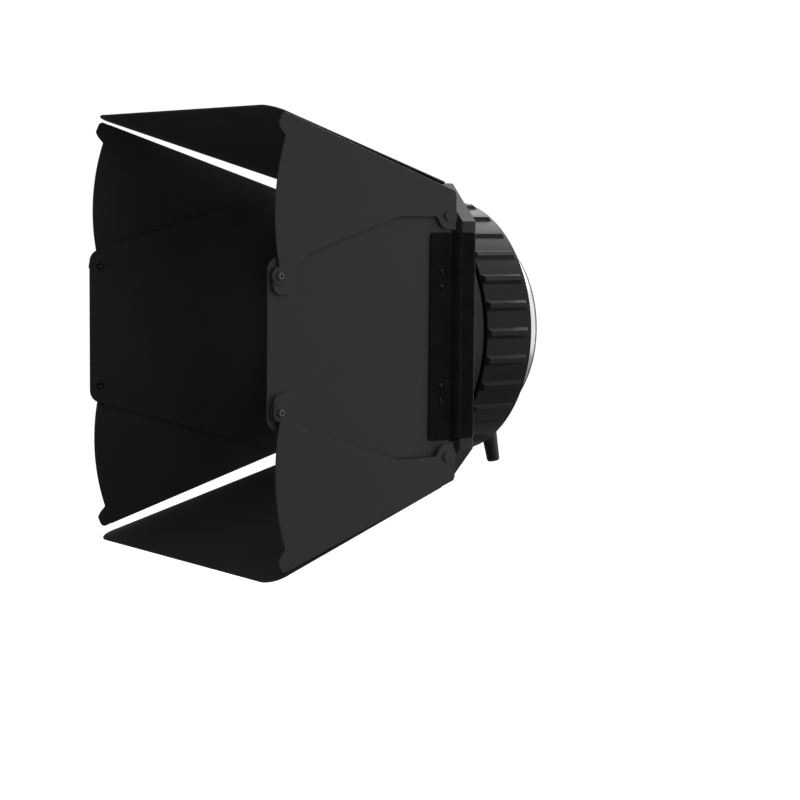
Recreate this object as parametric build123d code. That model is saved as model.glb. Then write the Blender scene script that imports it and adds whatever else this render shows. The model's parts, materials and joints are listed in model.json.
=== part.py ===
from build123d import *
from math import cos, degrees, radians, sin
import os

# Four-leaf barn door attachment for a round-nosed studio light.
# Units are mm, +Z is up.  The optical axis is Y and the light leaves towards -Y.
# The origin is the centre of the bore that slides onto the nose of the light.
# Every part is drawn where it sits when the four doors stand a little open.

os.makedirs("parts", exist_ok=True)

# ---- driving dimensions -------------------------------------------------

# rear mount tube and bayonet lock
TUBE_R = 92.0
TUBE_WALL = 4.0
TUBE_REAR = 30.0
PILOT_R = 78.0
PILOT_REAR = 6.0
LUG_R = 78.4
LUG_FRONT = 9.5
LUG_ARC = 34.0
LUG_COUNT = 3
LOCK_FRONT = 16.0
LOCK_REAR = 27.0
LOCK_BORE_R = 80.0
LEVER_Y = 24.0
LEVER_ANGLE = 15.6
LEVER_TRAVEL = 28.0
LEVER_END_R = 135.1

# flange, bearing housing and grip ring
FLANGE_R = 114.0
SCREW_CIRCLE_R = 110.5
FLANGE_FRONT = -5.0
FLANGE_REAR = 1.0
HOUSING_FRONT = -51.0
HOUSING_LAND_END = -32.0
HOUSING_R = 113.95
LAND_R = 103.0
POCKET_R = 107.0
GRIP_FRONT = -53.0
GRIP_REAR = 0.2
GRIP_R = 120.3
GRIP_SCREW_Y = -8.5
GRIP_SCREW_ANGLES = (114, 186, 258)
GRIP_BORE_R = 114.0
BAR_COUNT = 30
BAR_PHASE = 0.0
BAR_WIDTH = 10.2
BAR_HEIGHT = 3.0
BAR_REAR = -4.6

# turning collar
COLLAR_R = 118.6
COLLAR_STEP_R = 119.6
COLLAR_STEP_Y = -63.6
COLLAR_REAR = -55.3
SLEEVE_R = 100.5
APERTURE_R = 96.0
SLEEVE_REAR = -28.0
BAND_R = 102.95
RETAINER_R = 106.6
RETAINER_T = 4.0

# octagonal frame
FRAME_HALF = 136.0
FRAME_FLAT = 102.0
FRAME_FRONT = -96.0
FRAME_REAR = -80.0
FRAME_HOLE_R = 100.0
FRAME_BEVEL = 1.4

# hinges
HINGE_OFF = 136.75
HINGE_Y = -102.0
HINGE_HALF = 92.0
KNUCKLE_R = 5.4
KNUCKLE_HALF = 46.0
PIN_R = 2.0
PLATE_T = 1.5
DOOR_PLATE_U = 32.2
FRAME_PLATE_U = 20.0
HINGE_SCREW_U = 18.3
HINGE_DISH = 0.5
HINGE_SCREW_Z = (-57.5, -44.0, 44.0, 57.5)
FRAME_SCREW_Z = (-74.0, -28.0, 28.0, 74.0)

# doors: how far each one leans outwards from straight ahead
NEAR_TILT = 6.5
FAR_TILT = 3.1
TOP_TILT = 16.5
BOTTOM_TILT = 17.9
PANEL_T = 1.5
PANEL_FACE = -0.75
PANEL_LEN = 215.3
SIDE_FRONT_HALF = 69.3
SIDE_REAR_HALF = 132.0
CAP_FRONT_HALF = 153.6
CAP_REAR_HALF = 122.9

# folding wings
PIVOT_U = 13.2
PIVOT_Z = 107.0
WING_T = 1.2
WING_STAND = 1.6
WING_GAP = 0.4
ARC_R = 196.6
STOP_R = 199.2
STOP_ANGLE = -14.7
PIVOT_R = 3.0
LOBE_R = 11.6
SHOULDER_R = 1.9


# ---- small helpers --------------------------------------------------------

# a plane whose drawing axes are "forward from the hinge" and "along the hinge"
def sheet_plane(offset):
    return Plane(origin=(offset, 0, 0), x_dir=(0, -1, 0), z_dir=(-1, 0, 0))


# a solid of revolution about the optical axis from (radius, y) corners
def turned(points):
    profile = make_face(Polyline(*points, close=True))
    return revolve(profile, axis=Axis.Y, revolution_arc=360)


def ring(r_in, r_out, y0, y1):
    return turned([(r_in, y0), (r_out, y0), (r_out, y1), (r_in, y1)])


# a rod along X starting at x0, radius r, at forward distance u and height z
def rod(x0, x1, r, u=0.0, z=0.0):
    body = Plane(origin=(x0, -u, z), z_dir=(1, 0, 0)) * Circle(r)
    return extrude(body, amount=x1 - x0)


# a rod along the hinge line
def pin_rod(r, z0, z1):
    return extrude(Plane.XY.offset(z0) * Circle(r), amount=z1 - z0)


# a rod parallel to the optical axis
def axial_rod(r, y0, y1, x, z):
    body = Plane(origin=(x, y0, z), z_dir=(0, 1, 0)) * Circle(r)
    return extrude(body, amount=y1 - y0)


def polar(radius, angle):
    return radius * cos(radians(angle)), radius * sin(radians(angle))


# round the corners of a flat outline; each entry is (u, z, radius)
def rounded(face, corners):
    for u, z, r in corners:
        near = sorted(face.vertices(), key=lambda v: (v.X - u) ** 2 + (v.Y - z) ** 2)[0]
        face = fillet(near, r)
    return face


# break the sharp outline of a thin sheet that lies across X
def soften(sheet, size):
    faces = sheet.faces().filter_by(Axis.X)
    rims = [f.outer_wire().edges() for f in faces if f.area > 500]
    return chamfer([e for group in rims for e in group], size)


def group(solids):
    return Compound(children=[s for item in solids for s in item.solids()])


# carry a part from the hinge's own frame onto one side of the lamp
def placed(shape, turn, tilt):
    return Rot(0, turn, 0) * Pos(HINGE_OFF, HINGE_Y, 0) * Rot(0, 0, tilt) * shape


def save(shape, name):
    export_step(shape, "parts/" + name + ".step")


# ---- rear mount -----------------------------------------------------------

def angular_block(r_in, r_out, y0, y1, centre, arc):
    wedge = ring(r_in, r_out, y0, y1)
    half = arc / 2
    far = r_out * 1.5
    p1 = polar(far, centre - half)
    p2 = polar(far * 1.4, centre)
    p3 = polar(far, centre + half)
    outline = make_face(Polyline((0, 0), p1, p2, p3, close=True))
    # the drawing plane looks along the optical axis, X right and Z up
    plane = Plane(origin=(0, y0 - 1, 0), x_dir=(1, 0, 0), z_dir=(0, -1, 0))
    cutter = extrude(plane * outline, amount=-(y1 - y0 + 2))
    return wedge & cutter


def make_mount_tube():
    inner = TUBE_R - TUBE_WALL
    end = TUBE_REAR
    body = turned([
        (PILOT_R, FLANGE_FRONT), (FLANGE_R - 1, FLANGE_FRONT), (FLANGE_R, FLANGE_FRONT + 1),
        (FLANGE_R, FLANGE_REAR - 1), (FLANGE_R - 1, FLANGE_REAR), (TUBE_R + 1.5, FLANGE_REAR),
        (TUBE_R, FLANGE_REAR + 1.5), (TUBE_R, end - 2.2), (TUBE_R - 1.1, end - 2.2),
        (TUBE_R - 1.1, end - 1.2), (TUBE_R, end - 1.2), (TUBE_R, end - 0.5), (TUBE_R - 0.5, end),
        (inner + 0.8, end),
        (inner, end - 0.8), (inner, end - 1.4), (inner + 1.6, end - 1.4),
        (inner + 1.6, end - 2.9), (inner, end - 2.9),
        (inner, PILOT_REAR), (PILOT_R + 0.8, PILOT_REAR), (PILOT_R, PILOT_REAR - 0.8),
    ])
    for i in range(LUG_COUNT):
        centre = 90 + 360 / LUG_COUNT * i
        body = body + angular_block(LUG_R, inner + 1, LUG_FRONT, LUG_FRONT + 4.5, centre, LUG_ARC)
    middle = -90 + LEVER_ANGLE - LEVER_TRAVEL / 2
    slot = angular_block(inner - 2, TUBE_R + 2, LEVER_Y - 3.9, LEVER_Y + 3.9,
                         middle, LEVER_TRAVEL + 6)
    body = body - slot
    for i in range(6):
        x, z = polar(SCREW_CIRCLE_R, 60 * i)
        body = body - axial_rod(1.6, FLANGE_FRONT - 1, FLANGE_REAR + 1, x, z)
        body = body - axial_rod(3.0, FLANGE_REAR - 2.2, FLANGE_REAR + 1, x, z)
    return body


def make_lock_ring():
    outer = TUBE_R - TUBE_WALL - 0.05
    body = turned([
        (LOCK_BORE_R, LOCK_FRONT), (outer - 0.3, LOCK_FRONT), (outer, LOCK_FRONT + 0.3),
        (outer, LOCK_REAR - 0.3), (outer - 0.3, LOCK_REAR), (LOCK_BORE_R, LOCK_REAR),
    ])
    for i in range(LUG_COUNT):
        centre = 90 + 60 + 360 / LUG_COUNT * i
        lug = angular_block(LUG_R + 0.5, LOCK_BORE_R + 1, LOCK_FRONT, LOCK_FRONT + 5,
                            centre, LUG_ARC)
        body = body + lug
    x, z = polar(1, -90 + LEVER_ANGLE)
    along = Plane(origin=(80.5 * x, LEVER_Y, 80.5 * z), z_dir=(x, 0, z))
    return body - extrude(along * Circle(2.5), amount=12)


# a stalk that screws into the lock ring and comes out through the tube's slot
def make_lock_lever():
    x, z = polar(1, -90 + LEVER_ANGLE)
    along = Plane(origin=(0, LEVER_Y, 0), x_dir=(0, 1, 0), z_dir=(x, 0, z))
    profile = make_face(Polyline(
        (0, 81.2), (2.45, 81.2), (2.45, 87.95), (3.1, 87.95), (3.1, 95), (6.6, 96.2),
        (7.8, 99), (6.1, LEVER_END_R - 2.0), (5.2, LEVER_END_R - 0.5), (3.6, LEVER_END_R),
        (0, LEVER_END_R), close=True))
    handle = revolve(profile, axis=Axis.Y, revolution_arc=360)
    # the profile's long axis is Y: stand it along the stalk's direction
    return along * Rot(90, 0, 0) * handle


def make_lock_clip():
    inner = TUBE_R - TUBE_WALL
    clip = ring(inner - 2.4, inner + 1.5, TUBE_REAR - 2.8, TUBE_REAR - 1.5)
    gap = angular_block(inner - 4, inner + 3, TUBE_REAR - 3.5, TUBE_REAR - 0.8, 60, 8)
    return clip - gap


def make_flange_screws():
    screws = []
    for i in range(6):
        x, z = polar(SCREW_CIRCLE_R, 60 * i)
        head = axial_rod(2.75, FLANGE_REAR - 2.2, FLANGE_REAR - 0.2, x, z)
        socket = extrude(Plane(origin=(x, FLANGE_REAR - 0.2, z), z_dir=(0, -1, 0))
                         * RegularPolygon(1.3, 6), amount=1.2)
        shank = axial_rod(1.5, FLANGE_REAR - 16, FLANGE_REAR - 2.2, x, z)
        screws.append(head + shank - socket)
    return group(screws)


def make_housing():
    body = turned([
        (LAND_R, HOUSING_FRONT + 0.6), (LAND_R + 0.6, HOUSING_FRONT),
        (HOUSING_R - 0.6, HOUSING_FRONT), (HOUSING_R, HOUSING_FRONT + 0.6),
        (HOUSING_R, FLANGE_FRONT), (POCKET_R, FLANGE_FRONT),
        (POCKET_R, HOUSING_LAND_END), (LAND_R, HOUSING_LAND_END),
    ])
    for i in range(6):
        x, z = polar(SCREW_CIRCLE_R, 60 * i)
        body = body - axial_rod(1.55, FLANGE_REAR - 17, FLANGE_FRONT + 1, x, z)
    for angle in GRIP_SCREW_ANGLES:
        body = body - grip_screw_hole(angle)
    return body


def radial_plane(angle, radius, y):
    x, z = polar(1, angle)
    return Plane(origin=(radius * x, y, radius * z), x_dir=(0, 1, 0), z_dir=(x, 0, z))


def grip_screw_hole(angle):
    plane = radial_plane(angle, 110, GRIP_SCREW_Y)
    return extrude(plane * Circle(1.55), amount=14)


# the ribbed ring held in the hand: bevelled bars around a plain band
def make_grip_ring():
    body = turned([
        (GRIP_BORE_R, GRIP_FRONT + 0.5), (GRIP_BORE_R + 0.5, GRIP_FRONT),
        (GRIP_R - 0.8, GRIP_FRONT), (GRIP_R, GRIP_FRONT + 0.8),
        (GRIP_R, GRIP_REAR - 1.2), (GRIP_R - 1.2, GRIP_REAR), (GRIP_BORE_R, GRIP_REAR),
    ])
    length = BAR_REAR - GRIP_FRONT - 0.4
    centre = (BAR_REAR + GRIP_FRONT + 0.4) / 2
    bars = []
    for i in range(BAR_COUNT):
        angle = BAR_PHASE + 360 / BAR_COUNT * i
        plane = radial_plane(angle, GRIP_R - 0.3, centre)
        bars.append(extrude(plane * Rectangle(length, BAR_WIDTH),
                            amount=BAR_HEIGHT + 0.3, taper=42))
    body = body + bars
    for angle in GRIP_SCREW_ANGLES:
        body = body - grip_screw_hole(angle)
    return body


def make_grip_screws():
    screws = []
    for angle in GRIP_SCREW_ANGLES:
        stud = extrude(radial_plane(angle, 110.2, GRIP_SCREW_Y) * Circle(1.5), amount=9.3)
        socket = extrude(radial_plane(angle, 118.2, GRIP_SCREW_Y) * RegularPolygon(0.9, 6), amount=2)
        screws.append(stud - socket)
    return group(screws)


# ---- turning head ----------------------------------------------------------

def make_collar():
    body = turned([
        (APERTURE_R, FRAME_REAR), (COLLAR_STEP_R, FRAME_REAR),
        (COLLAR_STEP_R, COLLAR_STEP_Y - 0.9), (COLLAR_R, COLLAR_STEP_Y),
        (COLLAR_R, COLLAR_REAR - 0.6), (COLLAR_R - 0.6, COLLAR_REAR),
        (SLEEVE_R, COLLAR_REAR), (SLEEVE_R, SLEEVE_REAR), (APERTURE_R, SLEEVE_REAR),
    ])
    for i in range(8):
        x, z = polar(109, 22.5 + 45 * i)
        body = body - axial_rod(2.05, FRAME_REAR - 1, FRAME_REAR + 12, x, z)
    for i in range(6):
        x, z = polar(98.3, 60 * i)
        body = body - axial_rod(1.05, SLEEVE_REAR - 8, SLEEVE_REAR + 1, x, z)
    return body


def make_bearing_band():
    return ring(SLEEVE_R, BAND_R, HOUSING_FRONT + 1, HOUSING_LAND_END - 1)


def make_retainer():
    body = ring(APERTURE_R, RETAINER_R, SLEEVE_REAR, SLEEVE_REAR + RETAINER_T)
    for i in range(6):
        x, z = polar(98.3, 60 * i)
        body = body - axial_rod(1.1, SLEEVE_REAR - 1, SLEEVE_REAR + 6, x, z)
        body = body - axial_rod(2.05, SLEEVE_REAR + 2.4, SLEEVE_REAR + 6, x, z)
    return body


def make_retainer_screws():
    screws = []
    for i in range(6):
        x, z = polar(98.3, 60 * i)
        head = axial_rod(1.9, SLEEVE_REAR + 2.4, SLEEVE_REAR + 3.8, x, z)
        screws.append(head + axial_rod(1.0, SLEEVE_REAR - 7, SLEEVE_REAR + 2.4, x, z))
    return group(screws)


def make_drag_ring():
    return ring(LAND_R + 0.6, POCKET_R - 0.3, HOUSING_LAND_END, SLEEVE_REAR - 0.1)


def octagon(half, flat):
    return make_face(Polyline(
        (half, -flat), (half, flat), (flat, half), (-flat, half),
        (-half, flat), (-half, -flat), (-flat, -half), (flat, -half), close=True))


def make_frame():
    plane = Plane(origin=(0, FRAME_REAR, 0), x_dir=(1, 0, 0), z_dir=(0, -1, 0))
    plane = plane.offset(FRAME_BEVEL)
    depth = FRAME_REAR - FRAME_FRONT - FRAME_BEVEL
    body = extrude(plane * octagon(FRAME_HALF, FRAME_FLAT), amount=depth)
    body = chamfer(body.edges().group_by(Axis.Y)[0], 0.8)
    # a long shallow bevel round the rear edge
    body = body + extrude(plane * octagon(FRAME_HALF, FRAME_FLAT), amount=-FRAME_BEVEL, taper=20)
    body = body - ring(0.5, FRAME_HOLE_R, FRAME_FRONT - 1, FRAME_REAR + 1)
    body = body - axial_rod(1, FRAME_FRONT - 1, FRAME_REAR + 1, 0, 0)
    # a shallow step round the opening and pockets that lighten the corners
    body = body - ring(FRAME_HOLE_R - 5, FRAME_HOLE_R + 3, FRAME_FRONT - 1, FRAME_FRONT + 2)
    for i in range(4):
        x, z = polar(139, 45 + 90 * i)
        pocket = axial_rod(11, FRAME_FRONT - 1, FRAME_FRONT + 9, x, z)
        body = body - pocket
    for i in range(8):
        x, z = polar(109, 22.5 + 45 * i)
        body = body - axial_rod(2.15, FRAME_FRONT - 1, FRAME_REAR + 1, x, z)
        body = body - axial_rod(4.0, FRAME_FRONT - 1, FRAME_FRONT + 5, x, z)
    for turn in (0, 90, 180, 270):
        for along in FRAME_SCREW_Z:
            hole = rod(FRAME_HALF - 12, FRAME_HALF + 1, 1.55, u=88.5, z=along)
            body = body - Rot(0, turn, 0) * hole
    return body


def make_frame_screws():
    screws = []
    for i in range(8):
        x, z = polar(109, 22.5 + 45 * i)
        head = axial_rod(3.6, FRAME_FRONT + 1, FRAME_FRONT + 5, x, z)
        socket = extrude(Plane(origin=(x, FRAME_FRONT + 1, z), z_dir=(0, 1, 0))
                         * RegularPolygon(1.75, 6), amount=2)
        shank = axial_rod(2.0, FRAME_FRONT + 5, FRAME_REAR + 11, x, z)
        screws.append(head + shank - socket)
    return group(screws)


# ---- hinges ----------------------------------------------------------------

def knuckle(z0, z1):
    return pin_rod(KNUCKLE_R, z0, z1) - pin_rod(PIN_R + 0.05, z0 - 1, z1 + 1)


# rectangular strip across the hinge plane, between forward distances u0 and u1
def strip(u0, u1, z0, z1):
    plane = sheet_plane(PLATE_T / 2)
    face = plane * Pos((u0 + u1) / 2, (z0 + z1) / 2) * Rectangle(abs(u1 - u0), z1 - z0)
    return extrude(face, amount=PLATE_T)


def plate_corners(plate, u_far):
    edges = [e for e in plate.edges().filter_by(Axis.X)
             if abs(-e.center().Y - u_far) < 0.1 and abs(abs(e.center().Z) - HINGE_HALF) < 0.1]
    return fillet(edges, 3.0)


# the moving half: one long central knuckle and a plate screwed to the door
def make_door_hinge():
    clear = KNUCKLE_R + 0.4
    plate = strip(clear, DOOR_PLATE_U, -HINGE_HALF, HINGE_HALF)
    plate = plate_corners(plate, DOOR_PLATE_U)
    plate = plate_corners(plate, clear)
    plate = plate + strip(PIN_R + 1, clear + 1, -KNUCKLE_HALF, KNUCKLE_HALF)
    body = plate + knuckle(-KNUCKLE_HALF, KNUCKLE_HALF)
    for z in HINGE_SCREW_Z:
        body = body - rod(-3, 3, 1.6, u=HINGE_SCREW_U, z=z)
        body = body - rod(PLATE_T / 2 - HINGE_DISH, 3, 3.8, u=HINGE_SCREW_U, z=z)
    return body


# the fixed half: two end knuckles and a plate on the frame's flat side
def make_frame_hinge():
    clear = KNUCKLE_R + 0.6
    inner = KNUCKLE_HALF + 1.1
    plate = strip(-FRAME_PLATE_U, -clear, -HINGE_HALF, HINGE_HALF)
    plate = plate_corners(plate, -FRAME_PLATE_U)
    body = plate
    for z0, z1 in ((-HINGE_HALF, -inner), (inner, HINGE_HALF)):
        body = body + strip(-clear - 1, -PIN_R - 1, z0, z1) + knuckle(z0, z1)
    for z in FRAME_SCREW_Z:
        hole = rod(-3, 3, 1.6, u=-13.5, z=z)
        sink = Pos(0, 13.5, z) * Rot(0, 90, 0) * Cone(1.6, 3.2, 1.6, align=(
            Align.CENTER, Align.CENTER, Align.MAX))
        body = body - hole - Pos(PLATE_T / 2 + 0.01, 0, 0) * sink
    return body


def make_hinge_pin():
    body = pin_rod(PIN_R, -HINGE_HALF - 0.5, HINGE_HALF + 0.5)
    for side in (-1, 1):
        cap = pin_rod(3.2, 0, 1.4)
        cap = chamfer(cap.edges().group_by(Axis.Z)[-1], 0.7)
        turn = 0 if side > 0 else 180
        body = body + Rot(turn, 0, 0) * Pos(0, 0, HINGE_HALF) * cap
    return body


def make_hinge_washers():
    washers = []
    for z0 in (-KNUCKLE_HALF - 1.05, KNUCKLE_HALF + 0.05):
        washers.append(pin_rod(KNUCKLE_R - 0.3, z0, z0 + 1) - pin_rod(PIN_R + 0.05, z0 - 1, z0 + 2))
    return group(washers)


def pan_screw(x0, x1, r, head_r, head_t, socket_r):
    head = rod(x1, x1 + head_t, head_r)
    head = fillet(head.edges().group_by(Axis.X)[-1], head_t * 0.45)
    plane = Plane(origin=(x1 + head_t, 0, 0), z_dir=(-1, 0, 0))
    socket = extrude(plane * RegularPolygon(socket_r, 6), amount=head_t * 0.6)
    return rod(x0, x1, r) + head - socket


# a screw with a spherical head of height t
def domed_screw(x0, x1, r, head_r, t, socket_r):
    curve = (head_r ** 2 + t ** 2) / (2 * t)
    ball = Pos(x1 + t - curve, 0, 0) * Rot(0, 0, 180) * Sphere(curve)
    head = rod(x1, x1 + t + 1, head_r + 1) & ball
    plane = Plane(origin=(x1 + t, 0, 0), z_dir=(-1, 0, 0))
    socket = extrude(plane * RegularPolygon(socket_r, 6), amount=t * 0.6)
    return rod(x0, x1, r) + head - socket


def make_door_screws():
    screw = domed_screw(-6.0, PLATE_T / 2 - HINGE_DISH, 1.5, 3.2, 1.8, 0.95)
    return group([Pos(0, -HINGE_SCREW_U, z) * screw for z in HINGE_SCREW_Z])


def hex_nut(x0, thick, r_bore, flats):
    plane = Plane(origin=(x0, 0, 0), z_dir=(1, 0, 0))
    body = extrude(plane * (RegularPolygon(flats / 2, 6, major_radius=False) - Circle(r_bore)),
                   amount=thick)
    return body


def make_door_nuts():
    nut = hex_nut(PANEL_FACE - PANEL_T - 2.2, 2.2, 1.52, 5.5)
    return group([Pos(0, -HINGE_SCREW_U, z) * nut for z in HINGE_SCREW_Z])


def make_plate_screws():
    cone = Rot(0, 90, 0) * Cone(1.5, 2.85, 1.35, align=(Align.CENTER, Align.CENTER, Align.MAX))
    screw = Pos(PLATE_T / 2 - 0.1, 0, 0) * cone + rod(-10, -0.5, 1.5)
    plane = Plane(origin=(PLATE_T / 2, 0, 0), z_dir=(-1, 0, 0))
    screw = screw - extrude(plane * RegularPolygon(1.0, 6), amount=1.2)
    return [Pos(0, 13.5, z) * screw for z in FRAME_SCREW_Z]


# ---- doors -----------------------------------------------------------------

# half outline of a door from the rear notch round to the front corner
def door_outline(rear_half, front_half, lead, corner_r):
    slope = (front_half - rear_half) / PANEL_LEN
    notch = HINGE_HALF + 2.5
    side = [
        (6.4, notch), (0.5, notch), (0.5, rear_half - lead),
        (lead, rear_half + slope * lead), (PANEL_LEN, front_half),
    ]
    mirror = [(u, -z) for u, z in reversed(side)]
    face = make_face(Polyline(*(side + mirror), close=True))
    corners = [(PANEL_LEN, front_half, corner_r), (PANEL_LEN, -front_half, corner_r)]
    corners += [(0.5, s * (rear_half - lead), 4.0) for s in (-1, 1)]
    corners += [(lead, s * (rear_half + slope * lead), 4.0) for s in (-1, 1)]
    return rounded(face, corners)


def stop_point():
    u, z = polar(STOP_R, STOP_ANGLE)
    return PIVOT_U + u, PIVOT_Z + z


def make_side_panel():
    face = door_outline(SIDE_REAR_HALF, SIDE_FRONT_HALF, 8.5, 12.0)
    body = extrude(sheet_plane(PANEL_FACE) * face, amount=PANEL_T)
    body = soften(body, 0.25)
    stop_u, stop_z = stop_point()
    for s in (-1, 1):
        body = body - rod(-5, 1, 2.05, u=PIVOT_U, z=s * PIVOT_Z)
        body = body - rod(-5, 1, 1.55, u=stop_u, z=s * stop_z)
    for z in HINGE_SCREW_Z:
        body = body - rod(-5, 1, 1.6, u=HINGE_SCREW_U, z=z)
    return body


def make_cap_panel():
    face = door_outline(CAP_REAR_HALF, CAP_FRONT_HALF, 3.5, 15.0)
    body = extrude(sheet_plane(PANEL_FACE) * face, amount=PANEL_T)
    body = soften(body, 0.25)
    for z in HINGE_SCREW_Z:
        body = body - rod(-5, 1, 1.6, u=HINGE_SCREW_U, z=z)
    return body


# ---- wings -----------------------------------------------------------------

# outline about its own pivot: a fan whose front edge is an arc on the pivot,
# with a hook at each end of the arc that meets the guide screw
def wing_face():
    edge = [
        (-10.5, 0), (-10.5, 21.3), (206, 90.4), (230, 60), (230, -60),
        (177.3, -60), (177.3, -45.0), (160.1, -32.0), (58.2, -1.0), (14.5, -1.0), (8, -6),
    ]
    fan = make_face(Polyline(*edge, close=True))
    fan = rounded(fan, [(-10.5, 21.3, 4.5), (177.3, -45.0, 14.0),
                        (160.1, -32.0, 14.0), (58.2, -1.0, 12.0)])
    fan = fan & Circle(ARC_R)
    gate = degrees((SHOULDER_R + 0.5) / STOP_R)
    low_u, low_z = polar(ARC_R - 6, STOP_ANGLE - gate)
    tip_u, tip_z = polar(207.0, STOP_ANGLE - gate)
    finger = make_face(Polyline(
        (177.3, -50), (low_u, low_z), (tip_u, tip_z), (197.4, -63.0),
        (192.0, -66.2), (177.3, -66.2), close=True))
    finger = rounded(finger, [(tip_u, tip_z, 1.5), (192.0, -66.2, 4.0), (177.3, -66.2, 4.5)])
    top = make_face(Polyline(
        (170, 72), polar(ARC_R - 4, 16.6), polar(ARC_R, 19.2), (190.8, 70.2), (193.1, 74.6),
        (188.6, 84.8), (172, 79.0), close=True))
    top = rounded(top, [(190.8, 70.2, 4.0), (193.1, 74.6, 3.0), (188.6, 84.8, 4.5)])
    lobe = Circle(LOBE_R)
    face = fan + finger + top + lobe
    return face - Circle(PIVOT_R + 0.05)


# which side of the door each wing is on, and how many sheets out it rides
WING_LEVELS = ((1, 0), (-1, 1))


def wing_level(level):
    return PANEL_FACE + WING_STAND + level * (WING_T + WING_GAP)


def make_wing(sign, level):
    face = wing_face()
    face = mirror(face, about=Plane.XZ) if sign < 0 else face
    plane = sheet_plane(wing_level(level) + WING_T)
    body = extrude(plane * Pos(PIVOT_U, sign * PIVOT_Z) * face, amount=WING_T)
    return soften(body, 0.3)


# headed pivots riveted through the door, one per wing
def make_wing_pivots():
    rivets = []
    for sign, level in WING_LEVELS:
        top = wing_level(level) + WING_T + 0.15
        head = rod(top, top + 1.3, 4.3)
        head = fillet(head.edges().group_by(Axis.X)[-1], 0.4)
        tail = rod(PANEL_FACE - PANEL_T - 1.0, PANEL_FACE - PANEL_T, 3.6)
        tail = chamfer(tail.edges().group_by(Axis.X)[0], 0.4)
        rivet = head + rod(PANEL_FACE, top, PIVOT_R) + rod(-4, PANEL_FACE, 2.0) + tail
        rivet = rivet & rod(PANEL_FACE - PANEL_T - 1.0, 10, 20)
        rivets.append(Pos(0, -PIVOT_U, sign * PIVOT_Z) * rivet)
    return group(rivets)


# thin slip washers that keep each wing just clear of the door
def make_slip_washers():
    washers = []
    stop_u, stop_z = stop_point()
    for sign, level in WING_LEVELS:
        top = wing_level(level) - 0.05
        pivot = rod(PANEL_FACE, top, 8.0) - rod(-5, 5, PIVOT_R + 0.05)
        guide = rod(PANEL_FACE, top, 7.7) - rod(-5, 5, SHOULDER_R + 0.05)
        washers.append(Pos(0, -PIVOT_U, sign * PIVOT_Z) * pivot)
        washers.append(Pos(0, -stop_u, sign * stop_z) * guide)
    return group(washers)


def make_guide_screws():
    screws = []
    stop_u, stop_z = stop_point()
    for sign, level in WING_LEVELS:
        top = wing_level(level) + WING_T + 1.2
        screw = pan_screw(-5.6, top, 1.5, 3.3, 2.2, 1.5)
        screw = screw + rod(PANEL_FACE, top, SHOULDER_R)
        screws.append(Pos(0, -stop_u, sign * stop_z) * screw)
    return group(screws)


def make_guide_washers():
    washers = []
    stop_u, stop_z = stop_point()
    for sign, level in WING_LEVELS:
        top = wing_level(level) + WING_T + 1.2
        disc = rod(top - 1.05, top, 7.6) - rod(-5, 9, SHOULDER_R + 0.05)
        disc = chamfer(disc.edges().group_by(Axis.X)[-1].sort_by(SortBy.LENGTH)[-1], 0.35)
        washers.append(Pos(0, -stop_u, sign * stop_z) * disc)
    return group(washers)


def make_guide_nuts():
    nuts = []
    stop_u, stop_z = stop_point()
    for sign in (1, -1):
        nut = hex_nut(PANEL_FACE - PANEL_T - 2.2, 2.2, 1.52, 5.5)
        nuts.append(Pos(0, -stop_u, sign * stop_z) * nut)
    return group(nuts)


# ---- write every part --------------------------------------------------------

save(make_mount_tube(), "mount_tube")
save(make_lock_ring(), "lock_ring")
save(make_lock_lever(), "lock_lever")
save(make_lock_clip(), "lock_clip")
save(make_flange_screws(), "flange_screws")
save(make_housing(), "bearing_housing")
save(make_grip_ring(), "grip_ring")
save(make_grip_screws(), "grip_screws")
save(make_collar(), "collar")
save(make_bearing_band(), "bearing_band")
save(make_retainer(), "retainer_ring")
save(make_retainer_screws(), "retainer_screws")
save(make_drag_ring(), "drag_ring")
save(make_frame(), "frame")
save(make_frame_screws(), "frame_screws")

SIDES = (("near", 0, NEAR_TILT), ("far", 180, FAR_TILT),
         ("top", -90, TOP_TILT), ("bottom", 90, BOTTOM_TILT))

plate_screws = []
for name, turn, tilt in SIDES:
    save(placed(make_frame_hinge(), turn, 0), name + "_frame_hinge")
    save(placed(make_hinge_pin(), turn, 0), name + "_hinge_pin")
    plate_screws += [placed(s, turn, 0) for s in make_plate_screws()]
    save(placed(make_door_hinge(), turn, tilt), name + "_door_hinge")
    save(placed(make_hinge_washers(), turn, tilt), name + "_hinge_washers")
    save(placed(make_door_screws(), turn, tilt), name + "_door_screws")
    save(placed(make_door_nuts(), turn, tilt), name + "_door_nuts")
save(group(plate_screws), "plate_screws")

for name, turn, tilt in SIDES[2:]:
    save(placed(make_cap_panel(), turn, tilt), name + "_panel")

for name, turn, tilt in SIDES[:2]:
    upper, lower = ("upper", "lower") if turn == 0 else ("lower", "upper")
    save(placed(make_side_panel(), turn, tilt), name + "_panel")
    for (sign, level), side in zip(WING_LEVELS, (upper, lower)):
        save(placed(make_wing(sign, level), turn, tilt), name + "_" + side + "_wing")
    save(placed(make_wing_pivots(), turn, tilt), name + "_wing_pivots")
    save(placed(make_slip_washers(), turn, tilt), name + "_slip_washers")
    save(placed(make_guide_screws(), turn, tilt), name + "_guide_screws")
    save(placed(make_guide_washers(), turn, tilt), name + "_guide_washers")
    save(placed(make_guide_nuts(), turn, tilt), name + "_guide_nuts")
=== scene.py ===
import bpy
import json
import math
from mathutils import Matrix, Vector

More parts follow.
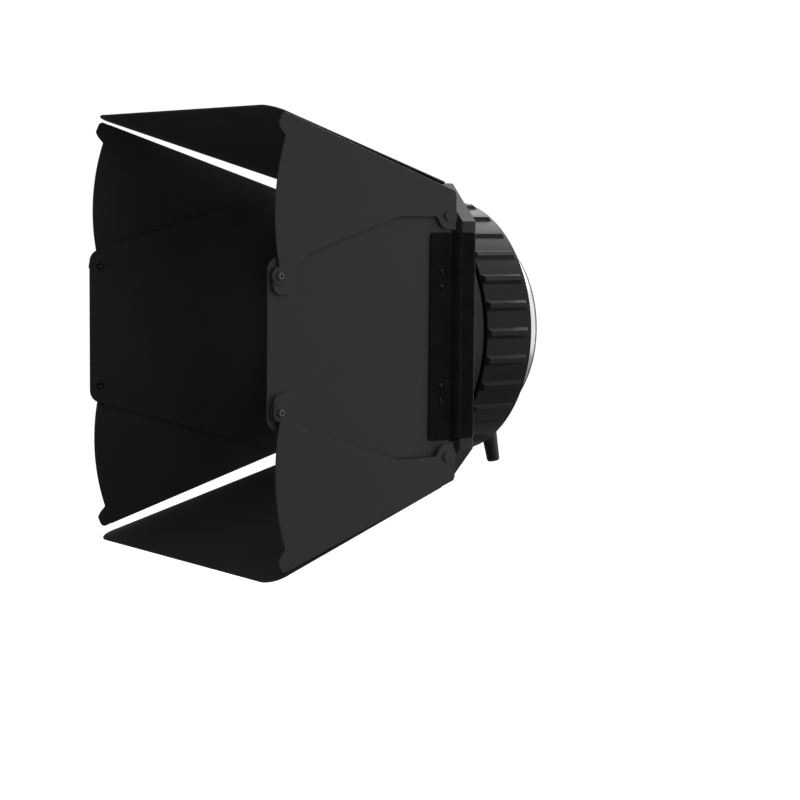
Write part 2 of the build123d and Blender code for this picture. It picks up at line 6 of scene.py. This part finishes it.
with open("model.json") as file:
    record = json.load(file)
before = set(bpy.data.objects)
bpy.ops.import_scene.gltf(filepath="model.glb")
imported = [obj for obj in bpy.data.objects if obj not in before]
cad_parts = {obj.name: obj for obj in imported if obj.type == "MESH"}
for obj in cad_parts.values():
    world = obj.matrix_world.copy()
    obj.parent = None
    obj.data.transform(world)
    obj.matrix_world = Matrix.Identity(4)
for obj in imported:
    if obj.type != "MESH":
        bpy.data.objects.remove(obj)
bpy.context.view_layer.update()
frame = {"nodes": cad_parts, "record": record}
NODES = frame["nodes"]

# A barn door attachment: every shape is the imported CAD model's own, and this file gives
# each of its materials a finish, with the studio round it.  Metres, +Z up, light towards -Y.

# ---- camera --------------------------------------------------------------------

CAM_AZIMUTH = 53.69
CAM_ELEVATION = 5.13
CAM_ROLL = 0.52
CAM_DISTANCE = 2.0159
CAM_TARGET = Vector((0.0, -0.0626, -0.0696))
CAM_LENS = 94.74
SENSOR_WIDTH = 36.0
CLIP_NEAR = 0.05
CLIP_FAR = 50.0


def make_camera():
    az, el = math.radians(CAM_AZIMUTH), math.radians(CAM_ELEVATION)
    back = Vector((math.sin(az) * math.cos(el), -math.cos(az) * math.cos(el), math.sin(el)))
    right = Vector((math.cos(az), math.sin(az), 0.0))
    up = back.cross(right)
    turn = Matrix((right, up, back)).transposed().to_4x4()
    roll = Matrix.Rotation(math.radians(CAM_ROLL), 4, "Z")
    data = bpy.data.cameras.new("camera")
    data.lens = CAM_LENS
    data.sensor_width = SENSOR_WIDTH
    data.clip_start = CLIP_NEAR
    data.clip_end = CLIP_FAR
    camera = bpy.data.objects.new("camera", data)
    camera.matrix_world = Matrix.Translation(CAM_TARGET + back * CAM_DISTANCE) @ turn @ roll
    bpy.context.collection.objects.link(camera)
    bpy.context.scene.camera = camera


# ---- studio --------------------------------------------------------------------

FLOOR_Z = -0.55
FLOOR_HALF = 14.0
FLOOR_GLOW = 0.95
FLOOR_TONE = (0.86, 0.86, 0.86, 1.0)
FLOOR_ROUGHNESS = 0.9
WHITE = (1.0, 1.0, 1.0, 1.0)
AMBIENT = 0.17
BACKDROP = 1.05

# name, centre, aimed at, width, height, radiance
SOFTBOXES = (
    ("key_top_back", (-0.65, 1.10, 1.42), (0.0, -0.05, 0.0), 1.6, 1.1, 4.85),
    ("card_top_right", (0.60, 1.45, 1.75), (0.0, 0.0, 0.0), 1.2, 1.2, 2.2),
    ("card_back_right", (1.9, 1.45, 0.3), (0.0, 0.0, 0.0), 1.5, 3.0, 0.92),
    ("card_back", (0.45, 2.2, -0.2), (0.0, 0.0, 0.0), 0.5, 1.8, 2.6),
    ("fill_right", (1.45, -0.45, 1.2), (0.0, -0.15, 0.0), 0.9, 0.9, 1.1),
    ("fill_front", (0.6, -2.3, -0.15), (0.0, -0.15, 0.0), 1.6, 1.0, 1.2),
    ("bounce_low", (0.3, 0.5, -0.53), (0.3, 0.5, 0.0), 1.2, 0.9, 0.16),
)


def make_world():
    world = bpy.data.worlds.new("studio")
    bpy.context.scene.world = world
    world.use_nodes = True
    nodes, links = world.node_tree.nodes, world.node_tree.links
    soft = nodes["Background"]
    soft.inputs["Color"].default_value = WHITE
    soft.inputs["Strength"].default_value = AMBIENT
    paper = nodes.new("ShaderNodeBackground")
    paper.inputs["Color"].default_value = WHITE
    paper.inputs["Strength"].default_value = BACKDROP
    rays = nodes.new("ShaderNodeLightPath")
    mix = nodes.new("ShaderNodeMixShader")
    links.new(rays.outputs["Is Camera Ray"], mix.inputs[0])
    links.new(soft.outputs[0], mix.inputs[1])
    links.new(paper.outputs[0], mix.inputs[2])
    links.new(mix.outputs[0], nodes["World Output"].inputs["Surface"])


def make_softbox(name, centre, target, width, height, radiance):
    data = bpy.data.lights.new(name, "AREA")
    data.shape = "RECTANGLE"
    data.size = width
    data.size_y = height
    data.energy = radiance * math.pi * width * height
    light = bpy.data.objects.new(name, data)
    light.location = centre
    aim = Vector(target) - Vector(centre)
    light.rotation_euler = aim.to_track_quat("-Z", "Y").to_euler()
    light.visible_camera = False
    bpy.context.collection.objects.link(light)


def make_floor():
    mesh = bpy.data.meshes.new("floor")
    h = FLOOR_HALF
    mesh.from_pydata([(-h, -h, FLOOR_Z), (h, -h, FLOOR_Z), (h, h, FLOOR_Z), (-h, h, FLOOR_Z)],
                     [], [(0, 1, 2, 3)])
    floor = bpy.data.objects.new("floor", mesh)
    bpy.context.collection.objects.link(floor)
    paper = bpy.data.materials.new("floor_paper")
    paper.use_nodes = True
    shader = paper.node_tree.nodes["Principled BSDF"]
    shader.inputs["Base Color"].default_value = FLOOR_TONE
    shader.inputs["Roughness"].default_value = FLOOR_ROUGHNESS
    shader.inputs["Emission Color"].default_value = WHITE
    shader.inputs["Emission Strength"].default_value = FLOOR_GLOW
    mesh.materials.append(paper)
    floor.visible_diffuse = False
    floor.visible_glossy = False


# ---- material tools -------------------------------------------------------------

# how far a softened normal turns from the surface's own, as a cosine: flat, full edge
EDGE_FLAT = 0.995
EDGE_SHARP = 0.86
EDGE_SAMPLES = 6
# the stretch of a noise's values that gets spread out: soft clouds, crisp ones, edge rubbing with
# its painted highlight
SOFT = (0.3, 0.7)
CRISP = (0.35, 0.65)
PATCHY = (0.42, 0.62)
# rubbing with its painted edge highlight comes in patches this wide, and is never less than this
# share
PATCH_SIZE = 0.006
LEAST_RUB_AND_HIGHLIGHT = 0.15


class Finish:
    """A node material under construction; every texture is in the object's own metres."""

    def __init__(self, name, metallic, specular):
        self.material = bpy.data.materials.new(name)
        self.material.use_nodes = True
        self.nodes = self.material.node_tree.nodes
        self.links = self.material.node_tree.links
        self.shader = self.nodes["Principled BSDF"]
        self.shader.inputs["Metallic"].default_value = metallic
        self.shader.inputs["Specular IOR Level"].default_value = specular
        self.place = self.nodes.new("ShaderNodeTexCoord").outputs["Object"]
        self.surface = self.nodes.new("ShaderNodeNewGeometry").outputs["Normal"]
        self.normal = self.surface

    def feed(self, socket, value):
        if isinstance(value, (int, float)):
            socket.default_value = value
        else:
            self.links.new(value, socket)

    def math(self, kind, a, b):
        node = self.nodes.new("ShaderNodeMath")
        node.operation = kind
        for socket, value in zip(node.inputs, (a, b)):
            self.feed(socket, value)
        return node.outputs[0]

    def noise(self, size, detail, place=None):
        node = self.nodes.new("ShaderNodeTexNoise")
        node.inputs["Scale"].default_value = 1.0 / size
        node.inputs["Detail"].default_value = detail
        self.links.new(place or self.place, node.inputs["Vector"])
        return node.outputs[0]

    def span(self, value, low, high, to_low, to_high):
        node = self.nodes.new("ShaderNodeMapRange")
        self.links.new(value, node.inputs["Value"])
        for key, number in (("From Min", low), ("From Max", high),
                            ("To Min", to_low), ("To Max", to_high)):
            node.inputs[key].default_value = number
        return node.outputs[0]

    def spread(self, noise, to_low, to_high, stretch=SOFT):
        """A noise, brought from the values it mostly takes to the ones given."""
        return self.span(noise, *stretch, to_low, to_high)

    def blend(self, amount, a, b):
        node = self.nodes.new("ShaderNodeMix")
        node.data_type = "RGBA"
        self.links.new(amount, node.inputs[0])
        for socket, colour in ((node.inputs[6], a), (node.inputs[7], b)):
            if isinstance(colour, tuple):
                socket.default_value = colour + (1.0,)
            else:
                self.links.new(colour, socket)
        return node.outputs[2]

    def lathe_place(self):
        """Coordinates that run along the optical axis and outwards, and stay put round it."""
        split = self.nodes.new("ShaderNodeSeparateXYZ")
        self.links.new(self.place, split.inputs[0])
        x, y, z = split.outputs
        square = self.math("ADD", self.math("MULTIPLY", x, x), self.math("MULTIPLY", z, z))
        join = self.nodes.new("ShaderNodeCombineXYZ")
        self.links.new(y, join.inputs[0])
        self.links.new(self.math("SQRT", square, 0.0), join.inputs[1])
        return join.outputs[0]

    def rear_of(self, start):
        """RIM_COVER of painted shade behind the given distance along the optical axis, and zero
        before it.
        """
        split = self.nodes.new("ShaderNodeSeparateXYZ")
        self.links.new(self.place, split.inputs[0])
        return self.span(split.outputs[1], start, start + RIM_SOFTNESS, 0.0, RIM_COVER)

    def rounded_edge(self, radius):
        """Softens the shading of sharp edges, and returns how near each point is to one."""
        bevel = self.nodes.new("ShaderNodeBevel")
        bevel.samples = EDGE_SAMPLES
        bevel.inputs["Radius"].default_value = radius
        self.normal = bevel.outputs[0]
        dot = self.nodes.new("ShaderNodeVectorMath")
        dot.operation = "DOT_PRODUCT"
        self.links.new(self.normal, dot.inputs[0])
        self.links.new(self.surface, dot.inputs[1])
        return self.span(dot.outputs["Value"], EDGE_FLAT, EDGE_SHARP, 0.0, 1.0)

    def bump(self, height, depth, strength):
        node = self.nodes.new("ShaderNodeBump")
        node.inputs["Strength"].default_value = strength
        node.inputs["Distance"].default_value = depth
        self.links.new(height, node.inputs["Height"])
        self.links.new(self.normal, node.inputs["Normal"])
        self.normal = node.outputs[0]

    def rub_and_highlight(self, edge, amount):
        """Patchy rubbing that also paints a highlight on edges: the edge mask broken up by noise.
        """
        patches = self.spread(self.noise(PATCH_SIZE, detail=4.0), LEAST_RUB_AND_HIGHLIGHT, 1.0, PATCHY)
        return self.math("MULTIPLY", self.math("MULTIPLY", edge, patches), amount)

    def tone(self, cloud, dark, pale, rubbed_and_highlit, scuff_highlight_colour, stretch=SOFT):
        """Clouds from dark to pale, and a lighter colour on edges, for rubbing and for a painted
        edge highlight.
        """
        coat = self.blend(self.spread(cloud, 0.0, 1.0, stretch), dark, pale)
        return self.blend(rubbed_and_highlit, coat, scuff_highlight_colour)

    def done(self, colour, roughness):
        self.links.new(colour, self.shader.inputs["Base Color"])
        self.links.new(roughness, self.shader.inputs["Roughness"])
        self.links.new(self.normal, self.shader.inputs["Normal"])
        return self.material


# ---- the finishes ----------------------------------------------------------------

# painted shade: a dark band over the tube's rear lip stands in for the shadow along its rim edge
RIM_START = 0.0287
RIM_SOFTNESS = 0.0002
RIM_COVER = 0.8
RIM_PAINTED_SHADE = (0.03, 0.03, 0.032)


def powder_coat(name, dark, pale, scuff_highlight_colour, rough, grain, shine):
    f = Finish(name, metallic=0.0, specular=shine)
    edge = f.rounded_edge(radius=0.0005)
    cloud = f.noise(size=0.055, detail=3.0)
    fine = f.noise(size=grain, detail=2.0)
    f.bump(f.noise(size=0.0034, detail=2.0), depth=0.00004, strength=0.35)
    f.bump(fine, depth=0.00003, strength=0.5)
    # lighter edges: partly rubbing, partly a painted highlight
    rubbed_and_highlit = f.rub_and_highlight(edge, amount=0.8)
    mottle = f.math("ADD", f.spread(cloud, rough - 0.05, rough + 0.05), f.spread(fine, -0.05, 0.05))
    polished = f.math("SUBTRACT", mottle, f.math("MULTIPLY", rubbed_and_highlit, 0.15))
    return f.done(f.tone(cloud, dark, pale, rubbed_and_highlit, scuff_highlight_colour), polished)


def moulded_grip():
    f = Finish("grip_black_finish", metallic=0.0, specular=0.16)
    edge = f.rounded_edge(radius=0.0006)
    spark = f.noise(size=0.0007, detail=3.0)
    cloud = f.noise(size=0.03, detail=3.0)
    f.bump(spark, depth=0.00005, strength=0.4)
    # lighter edges: partly rubbing, partly a painted highlight
    rubbed_and_highlit = f.rub_and_highlight(edge, amount=0.5)
    colour = f.tone(cloud, (0.013, 0.013, 0.0135), (0.018, 0.018, 0.0186),
                    rubbed_and_highlit, (0.06, 0.06, 0.062))
    return f.done(colour, f.math("ADD", f.spread(cloud, 0.33, 0.42), f.spread(spark, -0.04, 0.04)))


def turned_metal(name, metallic, dark, pale, scuff_highlight_colour, rough, shine, line_depth, rim=None):
    f = Finish(name, metallic, specular=shine)
    edge = f.rounded_edge(radius=0.0004)
    lines = f.noise(size=0.00028, detail=3.0, place=f.lathe_place())
    f.bump(lines, depth=line_depth, strength=0.5)
    smudge = f.noise(size=0.022, detail=4.0)
    # lighter edges: partly rubbing, partly a painted highlight
    rubbed_and_highlit = f.rub_and_highlight(edge, amount=0.7)
    colour = f.tone(smudge, dark, pale, rubbed_and_highlit, scuff_highlight_colour, CRISP)
    # painted shade on the tube's rear lip, where the rim edge falls into shadow
    if rim:
        colour = f.blend(f.rear_of(rim), colour, RIM_PAINTED_SHADE)
    streaks = f.math("ADD", f.spread(lines, rough - 0.05, rough + 0.07),
                     f.spread(smudge, -0.04, 0.06))
    return f.done(colour, streaks)


def black_steel(name, dark, pale, scuff_highlight_colour, rough, shine):
    f = Finish(name, metallic=0.0, specular=shine)
    edge = f.rounded_edge(radius=0.0004)
    grain = f.noise(size=0.0005, detail=3.0)
    cloud = f.noise(size=0.018, detail=4.0)
    f.bump(grain, depth=0.00002, strength=0.5)
    # lighter edges: partly rubbing, partly a painted highlight
    rubbed_and_highlit = f.rub_and_highlight(edge, amount=0.8)
    patchy = f.math("ADD", f.spread(cloud, rough - 0.06, rough + 0.08),
                    f.spread(grain, -0.04, 0.04))
    return f.done(f.tone(cloud, dark, pale, rubbed_and_highlit, scuff_highlight_colour, CRISP), patchy)


def bright_steel():
    f = Finish("steel_finish", metallic=1.0, specular=0.5)
    edge = f.rounded_edge(radius=0.0003)
    cloud = f.noise(size=0.01, detail=4.0)
    f.bump(f.noise(size=0.0004, detail=3.0), depth=0.00001, strength=0.4)
    # the last colour is for lighter edges: partly rubbing, partly a painted highlight
    colour = f.tone(cloud, (0.42, 0.42, 0.43), (0.55, 0.55, 0.56),
                    f.rub_and_highlight(edge, amount=0.5), (0.7, 0.7, 0.7), CRISP)
    return f.done(colour, f.spread(cloud, 0.28, 0.42))


def nylon():
    f = Finish("slip_plastic_finish", metallic=0.0, specular=0.45)
    edge = f.rounded_edge(radius=0.0003)
    cloud = f.noise(size=0.006, detail=3.0)
    f.bump(f.noise(size=0.0006, detail=2.0), depth=0.00002, strength=0.4)
    # the last colour is for lighter edges: partly rubbing, partly a painted highlight
    colour = f.tone(cloud, (0.02, 0.02, 0.021), (0.027, 0.027, 0.028),
                    f.rub_and_highlight(edge, amount=0.4), (0.08, 0.08, 0.08))
    return f.done(colour, f.spread(cloud, 0.42, 0.55))


# each finish's lighter edge colour is partly rubbed finish and partly a painted highlight along
# edges
FINISHES = {
    "door_coat": powder_coat(
        "door_coat_finish", dark=(0.0416, 0.0404, 0.0450), pale=(0.0476, 0.0464, 0.0511),
        scuff_highlight_colour=(0.13, 0.13, 0.133), rough=0.55, grain=0.0008, shine=0.20),
    "frame_coat": powder_coat(
        "frame_coat_finish", dark=(0.022, 0.022, 0.0228), pale=(0.027, 0.027, 0.0278),
        scuff_highlight_colour=(0.12, 0.12, 0.122), rough=0.42, grain=0.0006, shine=0.26),
    "grip_black": moulded_grip(),
    "bare_aluminium": turned_metal(
        "bare_aluminium_finish", metallic=1.0, dark=(0.72, 0.72, 0.73), pale=(0.82, 0.82, 0.83),
        scuff_highlight_colour=(0.9, 0.9, 0.9), rough=0.22, shine=0.5, line_depth=0.00002, rim=RIM_START),
    "inner_black": turned_metal(
        "inner_black_finish", metallic=0.0, dark=(0.012, 0.012, 0.013), pale=(0.017, 0.017, 0.018),
        scuff_highlight_colour=(0.08, 0.08, 0.082), rough=0.42, shine=0.3, line_depth=0.00002),
    "hinge_black": black_steel(
        "hinge_black_finish", dark=(0.0105, 0.0103, 0.0112), pale=(0.0140, 0.0137, 0.0147),
        scuff_highlight_colour=(0.035, 0.035, 0.037), rough=0.52, shine=0.008),
    "steel": bright_steel(),
    "lever_black": turned_metal(
        "lever_black_finish", metallic=0.0, dark=(0.019, 0.019, 0.0195),
        pale=(0.024, 0.024, 0.0245), scuff_highlight_colour=(0.08, 0.08, 0.08), rough=0.4, shine=0.35,
        line_depth=0.00001),
    "fastener_black": black_steel(
        "fastener_black_finish", dark=(0.003, 0.003, 0.0032), pale=(0.005, 0.005, 0.0053),
        scuff_highlight_colour=(0.05, 0.05, 0.05), rough=0.16, shine=0.22),
    "guide_steel": black_steel(
        "guide_steel_finish", dark=(0.045, 0.045, 0.047), pale=(0.060, 0.060, 0.062),
        scuff_highlight_colour=(0.2, 0.2, 0.2), rough=0.26, shine=0.6),
    "slip_plastic": nylon(),
}


def dress_nodes():
    slots = {part["node"]: part["material_slot"] for part in frame["record"]["subparts"]}
    for name, node in NODES.items():
        for place in node.material_slots:
            place.material = FINISHES[slots[name]]


make_camera()
make_world()
for box in SOFTBOXES:
    make_softbox(*box)
make_floor()
dress_nodes()
bpy.context.scene.view_settings.view_transform = "Standard"
